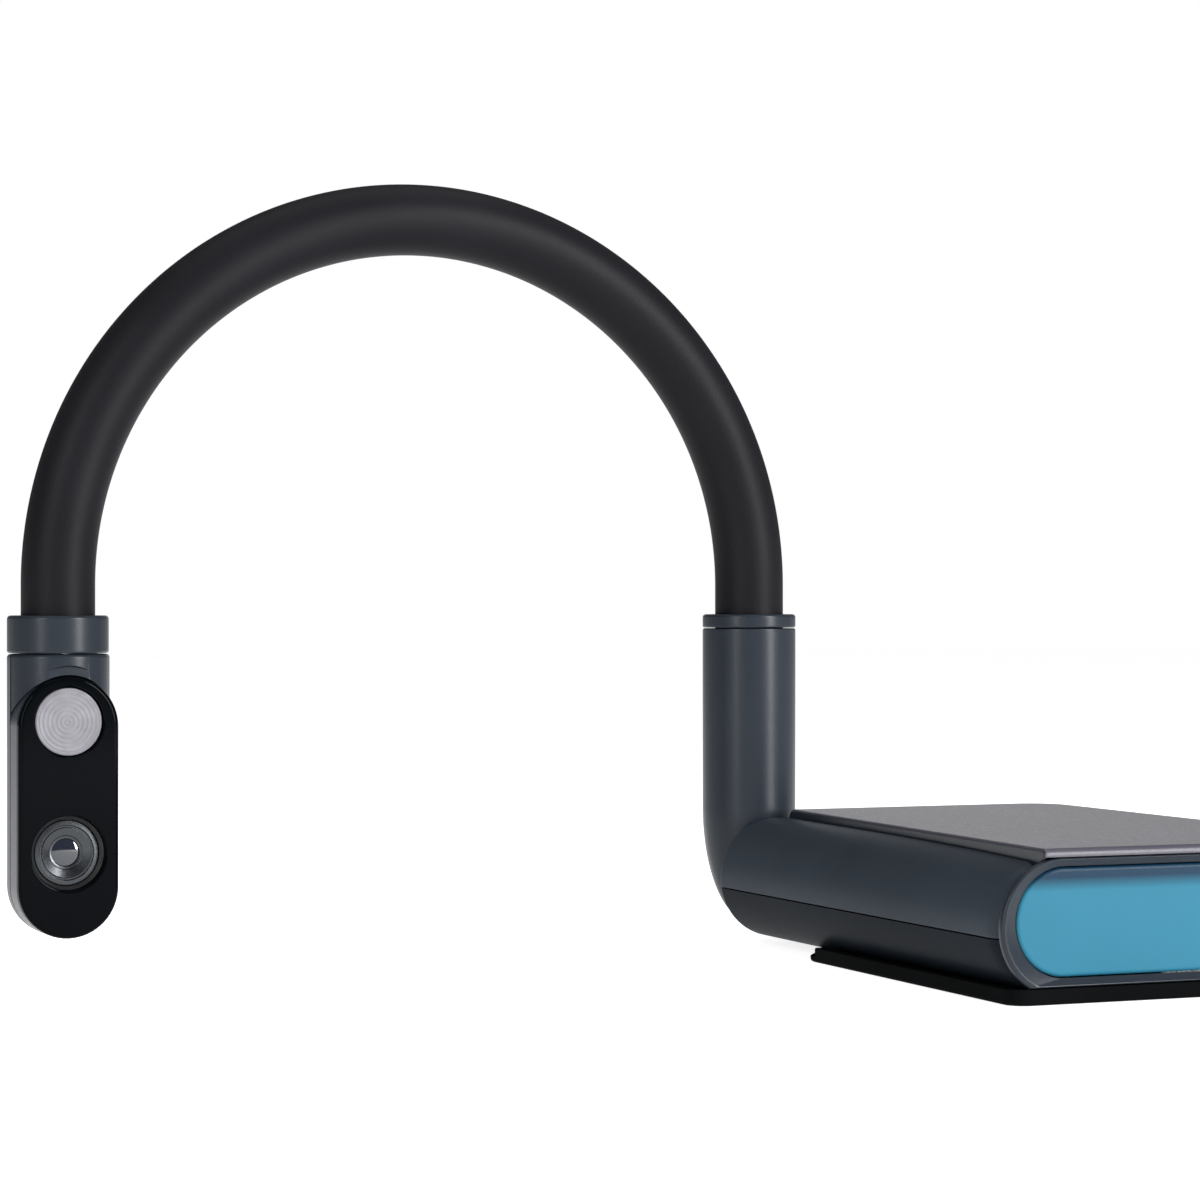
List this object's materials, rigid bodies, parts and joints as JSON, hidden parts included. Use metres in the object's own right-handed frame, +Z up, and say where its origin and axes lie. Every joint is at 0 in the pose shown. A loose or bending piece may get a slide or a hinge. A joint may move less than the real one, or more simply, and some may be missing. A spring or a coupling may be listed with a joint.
{
  "type": "video magnifier",
  "caption": "Desktop video magnifier: flat book-shaped base, folding post, bendable rubber-covered arch and a turning camera head with lens and lamp.",
  "frame": {"origin": "middle of the foot plate's underside", "axes": "+X along the arch from the camera head to the post, +Y from the blue end panel to the elbow, +Z up"},
  "size_m": [0.3759, 0.2349, 0.26],
  "materials": {
    "slate_plastic": "satin moulded plastic",
    "gloss_grey_plastic": "glossy moulded plastic",
    "blue_plastic": "smooth coloured plastic",
    "foot_rubber": "matte rubber",
    "sleeve_rubber": "satin rubber sleeve",
    "gloss_black_plastic": "high gloss plastic",
    "diffuser_plastic": "frosted translucent plastic",
    "button_plastic": "satin plastic",
    "cast_metal": "satin cast metal",
    "steel": "turned steel",
    "circuit_board": "coated board",
    "lens_glass": "polished coated glass"
  },
  "bodies": {
    "base": {"base_tray": "slate_plastic", "spine_cover": "slate_plastic", "top_panel": "gloss_grey_plastic", "front_bezel": "slate_plastic", "blue_end_panel": "blue_plastic", "foot_plate": "foot_rubber", "port_panel": "gloss_black_plastic", "usb_socket": "steel", "video_socket": "steel", "power_inlet": "gloss_black_plastic", "main_board": "circuit_board", "heat_sink": "cast_metal", "ballast_plate": "steel", "control_fascia": "gloss_black_plastic", "keypad_board": "circuit_board", "hinge_housing": "cast_metal", "case_screw_1": "steel", "case_screw_2": "steel", "case_screw_3": "steel", "case_screw_4": "steel"},
    "power_button": {"power_button": "button_plastic"},
    "freeze_button": {"freeze_button": "button_plastic"},
    "light_button": {"light_button": "button_plastic"},
    "zoom_out_button": {"zoom_out_button": "button_plastic"},
    "zoom_in_button": {"zoom_in_button": "button_plastic"},
    "arm": {"hinge_axle": "steel", "friction_washer": "gloss_black_plastic", "spring_washer": "steel", "axle_nut": "steel", "elbow_core": "cast_metal", "post_shell": "slate_plastic", "post_collar": "slate_plastic", "lower_ferrule": "steel", "gooseneck_length_01": "sleeve_rubber"},
    "neck_02": {"gooseneck_length_02": "sleeve_rubber"},
    "neck_03": {"gooseneck_length_03": "sleeve_rubber"},
    "neck_04": {"gooseneck_length_04": "sleeve_rubber"},
    "neck_05": {"gooseneck_length_05": "sleeve_rubber"},
    "neck_06": {"gooseneck_length_06": "sleeve_rubber"},
    "neck_07": {"gooseneck_length_07": "sleeve_rubber"},
    "neck_08": {"gooseneck_length_08": "sleeve_rubber"},
    "neck_09": {"gooseneck_length_09": "sleeve_rubber"},
    "neck_end": {"gooseneck_length_10": "sleeve_rubber", "neck_collar": "slate_plastic", "swivel_tube": "steel", "swivel_clip": "steel"},
    "head": {"head_rear_shell": "slate_plastic", "head_front_frame": "slate_plastic", "face_plate": "gloss_black_plastic", "led_diffuser": "diffuser_plastic", "led_board": "circuit_board", "lens_ring": "cast_metal", "lens_barrel": "gloss_black_plastic", "front_lens": "lens_glass", "sensor_board": "circuit_board", "head_screw_1": "steel", "head_screw_2": "steel"}
  },
  "joints": [
    {"name": "power_press", "type": "slide", "parent": "base", "child": "power_button", "axis": [0, 0, -1], "range_m": [0, 0.0008], "stiffness_N_per_m": 600},
    {"name": "freeze_press", "type": "slide", "parent": "base", "child": "freeze_button", "axis": [0, 0, -1], "range_m": [0, 0.0008], "stiffness_N_per_m": 600},
    {"name": "light_press", "type": "slide", "parent": "base", "child": "light_button", "axis": [0, 0, -1], "range_m": [0, 0.0008], "stiffness_N_per_m": 600},
    {"name": "zoom_out_press", "type": "slide", "parent": "base", "child": "zoom_out_button", "axis": [0, 0, -1], "range_m": [0, 0.0008], "stiffness_N_per_m": 600},
    {"name": "zoom_in_press", "type": "slide", "parent": "base", "child": "zoom_in_button", "axis": [0, 0, -1], "range_m": [0, 0.0008], "stiffness_N_per_m": 600},
    {"name": "arm_fold", "type": "hinge", "parent": "base", "child": "arm", "pos_m": [-0.0455, 0.1185, 0.0227], "axis": [0, 1, 0], "range_deg": [0, 90]},
    {"name": "gooseneck_bend_1", "type": "hinge", "parent": "arm", "child": "neck_02", "pos_m": [-0.04738, 0.1185, 0.14553], "axis": [0, 1, 0], "range_deg": [0, 10]},
    {"name": "gooseneck_bend_2", "type": "hinge", "parent": "neck_02", "child": "neck_03", "pos_m": [-0.06211, 0.1185, 0.186], "axis": [0, 1, 0], "range_deg": [0, 10]},
    {"name": "gooseneck_bend_3", "type": "hinge", "parent": "neck_03", "child": "neck_04", "pos_m": [-0.08979, 0.1185, 0.21899], "axis": [0, 1, 0], "range_deg": [0, 10]},
    {"name": "gooseneck_bend_4", "type": "hinge", "parent": "neck_04", "child": "neck_05", "pos_m": [-0.12709, 0.1185, 0.24052], "axis": [0, 1, 0], "range_deg": [0, 10]},
    {"name": "gooseneck_bend_5", "type": "hinge", "parent": "neck_05", "child": "neck_06", "pos_m": [-0.1695, 0.1185, 0.248], "axis": [0, 1, 0], "range_deg": [0, 10]},
    {"name": "gooseneck_bend_6", "type": "hinge", "parent": "neck_06", "child": "neck_07", "pos_m": [-0.21191, 0.1185, 0.24052], "axis": [0, 1, 0], "range_deg": [0, 10]},
    {"name": "gooseneck_bend_7", "type": "hinge", "parent": "neck_07", "child": "neck_08", "pos_m": [-0.24921, 0.1185, 0.21899], "axis": [0, 1, 0], "range_deg": [0, 10]},
    {"name": "gooseneck_bend_8", "type": "hinge", "parent": "neck_08", "child": "neck_09", "pos_m": [-0.27689, 0.1185, 0.186], "axis": [0, 1, 0], "range_deg": [0, 10]},
    {"name": "gooseneck_bend_9", "type": "hinge", "parent": "neck_09", "child": "neck_end", "pos_m": [-0.29162, 0.1185, 0.14553], "axis": [0, 1, 0], "range_deg": [0, 10]},
    {"name": "head_turn", "type": "hinge", "parent": "neck_end", "child": "head", "pos_m": [-0.2935, 0.1185, 0.1], "axis": [0, 0, 1], "range_deg": [-90, 90]}
  ],
  "couplings": [
    {"joint": "gooseneck_bend_2", "follows": "gooseneck_bend_1", "ratio": 1},
    {"joint": "gooseneck_bend_3", "follows": "gooseneck_bend_1", "ratio": 1},
    {"joint": "gooseneck_bend_4", "follows": "gooseneck_bend_1", "ratio": 1},
    {"joint": "gooseneck_bend_5", "follows": "gooseneck_bend_1", "ratio": 1},
    {"joint": "gooseneck_bend_6", "follows": "gooseneck_bend_1", "ratio": 1},
    {"joint": "gooseneck_bend_7", "follows": "gooseneck_bend_1", "ratio": 1},
    {"joint": "gooseneck_bend_8", "follows": "gooseneck_bend_1", "ratio": 1},
    {"joint": "gooseneck_bend_9", "follows": "gooseneck_bend_1", "ratio": 1}
  ]
}
